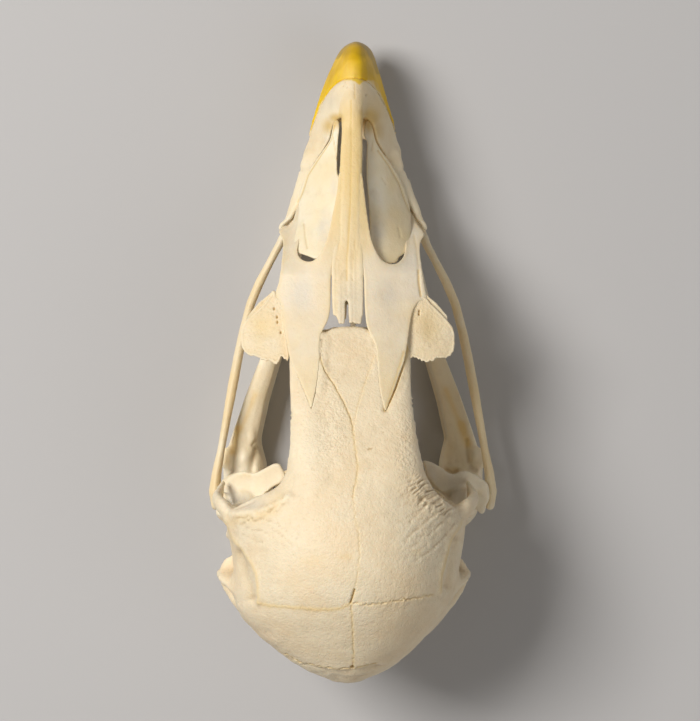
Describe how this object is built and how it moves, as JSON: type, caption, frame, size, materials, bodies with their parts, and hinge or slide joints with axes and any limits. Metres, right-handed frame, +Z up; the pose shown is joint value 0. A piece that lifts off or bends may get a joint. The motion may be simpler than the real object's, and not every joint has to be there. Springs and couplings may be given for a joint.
{
  "type": "chicken skull",
  "caption": "Life-size skull of an adult domestic chicken with its lower jaw: domed braincase, large open orbits, long nostrils and a hooked bill tip in yellow horn.",
  "frame": {"origin": "middle of the bounding box in plan, at the level of the surface that the lower jaw rests on", "axes": "+Y towards the beak tip, +Z up, +X to the skull's right side"},
  "size_m": [0.0348, 0.0768, 0.0335],
  "materials": {
    "bone": "matte, dry and finely porous",
    "thin_bone": "satin, thin bone with a pale bluish cast",
    "horn": "glossy, slightly translucent horn"
  },
  "bodies": {
    "root": {"beak_sheath": "horn", "cranium": "bone", "jugal_bar_left": "bone", "jugal_bar_right": "bone", "lacrimal_left": "bone", "lacrimal_right": "bone", "mandible": "bone", "mandible_sheath": "horn", "nasal_concha_left": "thin_bone", "nasal_concha_right": "thin_bone", "nasal_left": "thin_bone", "nasal_right": "thin_bone", "palatine_left": "thin_bone", "palatine_right": "thin_bone", "premaxilla": "bone", "pterygoid_left": "bone", "pterygoid_right": "bone", "quadrate_left": "bone", "quadrate_right": "bone", "vomer": "thin_bone"}
  },
  "joints": []
}
